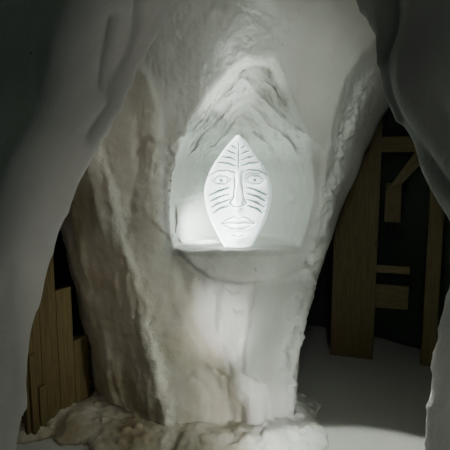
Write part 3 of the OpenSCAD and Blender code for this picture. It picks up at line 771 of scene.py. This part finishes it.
def build_mask():
    """The carved ice mask: an almond plate with a soft face and cut grooves."""
    wide, high = mask_high.x - mask_low.x, mask_high.z - mask_low.z
    middle = (mask_high.x + mask_low.x) / 2
    across, up = MASK_GRID
    u, v = np.meshgrid(np.linspace(-1, 1, across + 1), np.linspace(0, 1, up + 1))
    half = wide / 2 * np.where(v < 0.5, MASK_FOOT + (1 - MASK_FOOT) * np.sin(np.pi * v),
                               1 - 0.93 * np.clip((v - 0.5) / 0.5, 0, 1) ** 1.7)
    x, z = u * half, v * high
    a, b = np.abs(x) / MM, z / MM

    def mound(at, size):
        return np.exp(-((a - at[0]) / size[0]) ** 2 - ((b - at[1]) / size[1]) ** 2)

    face = (1 - u * u) * (0.55 + 0.2 * np.sin(np.pi * v))
    for share, at, size in MASK_FORMS:
        face += share * mound(at, size)

    # Each groove is cut by hand: it strays a little, is widest halfway and has a raised burr
    cut = np.zeros(len(a.ravel()))
    shaky = 2.5 * lumps(np.stack([x, 0 * x, z], axis=-1).reshape(-1, 3), 0.03, seed=51, octaves=2)
    for broad, line in MASK_GROOVES:
        gap, _, along = near_line(a.ravel() + shaky, b.ravel() + shaky[::-1], line)
        width = broad * (0.45 + 2.2 * along * (1 - along))
        cut = np.maximum(cut, bell(gap, width) - 0.45 * bell(gap - 2.1 * width, width))
    cut = np.maximum(cut.reshape(a.shape), bell(np.hypot(a - PUPIL[0], b - PUPIL[1]), 9))

    # The plate's front and back, which meet in a thin rim
    rim = np.clip(smooth(np.abs(u), 0.8, 1) ** 3 + smooth(v, 0.95, 1) ** 3, 0, 1)
    depth = (MASK_THICK * (1 - MASK_RIM * rim) + MASK_SWELL * np.clip(face, 0, 1.1)
             - MASK_CUT * cut * (1 - rim))
    back = MASK_THICK * MASK_RIM * rim
    front_points, back_points = [
        np.stack([middle + x, mask_high.y - off, mask_low.z + z], axis=-1).reshape(-1, 3)
        for off in (depth, back)]
    count = len(front_points)
    index = np.arange(count).reshape(up + 1, across + 1)
    corners = index[:-1, :-1], index[:-1, 1:], index[1:, 1:], index[1:, :-1]
    faces = [tuple(f) for f in np.stack(corners, -1).reshape(-1, 4).tolist()]
    faces += [tuple(corner + count for corner in reversed(f)) for f in faces]
    border = (index[0, :-1].tolist() + index[:-1, -1].tolist() + index[-1, :0:-1].tolist()
              + index[:0:-1, 0].tolist())
    faces += [(p, p + count, q + count, q) for p, q in zip(border, border[1:] + border[:1])]
    mesh = bpy.data.meshes.new("ice_mask_carved")
    mesh.from_pydata(np.concatenate([front_points, back_points]).tolist(), [], faces)
    mask = add_piece("ice_mask_carved", mesh, ICE)

    # A painted glow: the ice gives off light where it faces right or down, and most of all at the
    # mouth, and little in the grooves. The grooves also get painted shade and a faint haze.
    haze = 0.25 * np.clip(lumps(front_points, 0.05, seed=52), 0, 1).reshape(a.shape)
    to_right = np.gradient(depth, axis=1) / np.gradient(x, axis=1)
    upward = np.gradient(depth, axis=0) / np.gradient(z, axis=0)
    glow = np.clip(1.3 + 1.5 * to_right - 1.1 * upward, 0.1, 4.0) * (1 - 0.9 * np.clip(cut, 0, 1))
    glow *= 0.95 + 2.8 * mound((0, 130), (160, 215))
    tint(mask, groove=np.concatenate([np.clip(cut + haze, 0, 1).ravel()] * 2),
         glow=np.concatenate([glow.ravel(), 0 * glow.ravel()]))
    shade_round(mask)
    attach(mask, "root")
    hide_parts("ice_mask")


# Each timber, the line it stands on and the lean of its grain, both in degrees
TIMBER = {"left_boards": (-118, 0), "left_battens": (-118, 90), "left_pole": (-118, 0),
          "right_post": (-17, 0), "right_stud": (-17, 0), "right_brace": (-17, 33.7),
          "right_lintel": (-17, 90), "right_upper_rail": (-17, 90),
          "right_lower_rail": (-17, 90), "right_jamb": (-17, 0)}

# How far an edge is eased, and the bend in radians from which it counts as an edge. The side
# passages are in the dark, and their pine gets painted shade.
EASED_EDGE = 3 * MM
SHARP_BEND = 0.5
LEFT_DAMP, RIGHT_DAMP = 0.7, 0.75


def build_timber(node, turn, lean):
    """A sawn piece with eased edges, whose own Z runs along its grain."""
    work = bmesh.new()
    work.from_mesh(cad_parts[node].data)
    bmesh.ops.remove_doubles(work, verts=work.verts, dist=0.1 * MM)
    bmesh.ops.dissolve_limit(work, angle_limit=math.radians(1), verts=work.verts,
                             edges=work.edges)
    sharp = [edge for edge in work.edges
             if len(edge.link_faces) == 2 and edge.calc_face_angle(0) > SHARP_BEND]
    bmesh.ops.bevel(work, geom=sharp, offset=EASED_EDGE, segments=2, affect="EDGES", profile=0.5)
    own = (Matrix.Rotation(math.radians(turn), 4, "Z")
           @ Matrix.Rotation(math.radians(lean), 4, "Y"))
    bmesh.ops.transform(work, matrix=own.inverted(), verts=work.verts)
    mesh = bpy.data.meshes.new(node + "_sawn")
    work.to_mesh(mesh)
    work.free()
    piece = add_piece(node + "_sawn", mesh, PINE)
    piece.matrix_world = own
    # Painted shade, as the side passages are dark
    damp = RIGHT_DAMP if node.startswith("right") else LEFT_DAMP
    tint(piece, damp=np.full(len(mesh.vertices), damp))
    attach(piece, "root")
    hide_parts(node)


# Each light: its name, its place and where it points, its size, its power in watts, its colour,
# and, where it isn't a disk, its kind, a spot's cone in degrees and how soft that cone's edge is
LIGHTS = [
    ("niche_lamp", (-0.15, -0.02, 1.2), (0, -1, 1), 0.02, 0.8, "#ECFFFA", "POINT"),
    ("glow_lamp", (-0.1, -0.06, 1.26), (-0.15, 0.17, 1.16), 0.02, 13, "#F4FFFC", "SPOT", 140),
    ("mask_lamp", (0.1, -0.07, 1.5), (0, -1, 1), 0.02, 0.8, "#D4FFF6", "POINT"),
    ("hood_light", (0.45, -0.6, 1.35), (0.07, -0.12, 1.97), 0.01, 34, "#F4FFF8", "SPOT", 34),
    ("flake_light", (-0.05, -0.3, 1.2), (0.06, -0.12, 1.96), 0.01, 31, "#F4FFF8", "SPOT", 40),
    ("room_light", (0.85, -1.15, 1.45), (0.0, -0.25, 1.1), 0.05, 11.5, "#F3FFF4", "SPOT", 80),
    ("upper_light", (0.6, -1.0, 2.1), (0.1, 0.0, 1.6), 0.06, 11.5, "#F3FFF4", "SPOT", 130),
    ("low_light", (0.8, -1.2, 0.5), (0.0, -0.25, 0.45), 0.05, 31, "#F3FFF4", "SPOT", 70),
    ("stem_light", (-0.05, -1.15, 0.3), (-0.02, -0.25, 0.66), 0.03, 46, "#FFFFFF", "SPOT", 32),
    ("foot_light", (0.3, -0.75, 0.16), (0.17, -0.28, 0.12), 0.02, 5, "#FFFFFF", "SPOT", 100),
    ("left_light", (-1.05, -1.1, 1.35), (-0.8, -0.1, 0.55), 0.15, 5, "#FFF8E8", "SPOT", 75),
    ("side_light", (-0.75, -1.15, 1.9), (-0.45, -0.1, 1.6), 0.1, 4.5, "#FFF8E8", "SPOT", 70),
    ("floor_light", (0.62, -1.2, 1.9), (0.68, -1.2, 0), 0.03, 150, "#F3FFF4", "SPOT", 57, 0.12),
    ("rim_light", (0.95, -0.75, 0.6), (0.7, -1.4, 0.7), 0.1, 34, "#F3FFF4", "SPOT", 60),
    ("doorway_light", (0.9, -2.6, 2.2), (-0.5, -1.3, 1.4), 0.8, 0.3, "#F3FFF4"),
    ("outer_right", (8, 0, 4), (0, 0, 1), 2, 620, "#FFFFFF"),
    ("outer_left", (-8, 2, 4), (0, 0, 1), 3, 140, "#FFFFFF"),
    ("outer_back", (-3, 8, 5), (0, 0, 1), 3, 90, "#FFFFFF"),
    ("outer_top", (3, 1, 9), (0, 0, 0), 3, 260, "#FFFFFF"),
]


def light(name, at, towards, size, power, code, kind="AREA", cone=90, blend=1.0):
    """One light, aimed at a place, which the camera doesn't see."""
    data = bpy.data.lights.new(name, kind)
    data.energy = power
    data.color = linear(code)[:3]
    if kind == "AREA":
        data.shape = "DISK"
        data.size = size
    else:
        data.shadow_soft_size = size
    if kind == "SPOT":
        data.spot_size = math.radians(cone)
        data.spot_blend = blend
    source = bpy.data.objects.new(name, data)
    source.location = at
    source.rotation_euler = (Vector(towards) - Vector(at)).to_track_quat("-Z", "Y").to_euler()
    source.visible_camera = False
    bpy.context.scene.collection.objects.link(source)


# Half the side of the floor, and how bright the soft studio light is: in front of the doorway,
# behind the chamber, and where it is itself in the picture. The gloom gives way to the light
# between two values of the direction's Y.
FLOOR_HALF = 40.0
FRONT_GLOOM = 0.03
BACK_LIGHT = 0.45
BACKDROP = 0.5
GLOOM_FROM, GLOOM_TO = -0.7, -0.2


def build_stage():
    """Plain pale floor, soft studio light, the room's own lights and the camera."""
    mesh = bpy.data.meshes.new("floor")
    mesh.from_pydata([(-FLOOR_HALF, -FLOOR_HALF, 0), (FLOOR_HALF, -FLOOR_HALF, 0),
                      (FLOOR_HALF, FLOOR_HALF, 0), (-FLOOR_HALF, FLOOR_HALF, 0)],
                     [], [(0, 1, 2, 3)])
    floor_finish, _, shader = new_material("pale_floor")
    shader.inputs["Base Color"].default_value = linear("#C9C7C2")
    shader.inputs["Roughness"].default_value = 0.9
    floor = bpy.data.objects.new("floor", mesh)
    floor.data.materials.append(floor_finish)
    bpy.context.scene.collection.objects.link(floor)

    world = bpy.data.worlds.new("studio")
    bpy.context.scene.world = world
    world.use_nodes = True
    tree = world.node_tree
    sky = tree.nodes["Background"]
    sky.inputs["Color"].default_value = linear("#E8ECEC")
    aim = add(tree, "SeparateXYZ", {0: add(tree, "TexCoord").outputs["Generated"]})
    soft = add(tree, "MapRange", {"Value": aim.outputs["Y"], "From Min": GLOOM_FROM,
                                  "From Max": GLOOM_TO, "To Min": FRONT_GLOOM,
                                  "To Max": BACK_LIGHT})
    in_picture = add(tree, "LightPath").outputs["Is Camera Ray"]
    seen = add(tree, "Math", {0: in_picture, 1: BACKDROP}, operation="MULTIPLY")
    both = add(tree, "Math", {0: soft.outputs[0], 1: seen.outputs[0]}, operation="MAXIMUM")
    tree.links.new(both.outputs[0], sky.inputs["Strength"])
    for settings in LIGHTS:
        light(*settings)

    view = bpy.data.cameras.new("eye")
    view.sensor_width = EYE_SENSOR
    view.lens = EYE_LENS
    view.clip_start = 0.02
    eye = bpy.data.objects.new("eye", view)
    eye.location = EYE
    eye.rotation_euler = (math.radians(EYE_TILT), 0, 0)
    bpy.context.scene.collection.objects.link(eye)
    bpy.context.scene.camera = eye


build_stage()
build_shell()
build_pier()
build_mask()
for node, (turn, lean) in TIMBER.items():
    build_timber(node, turn, lean)
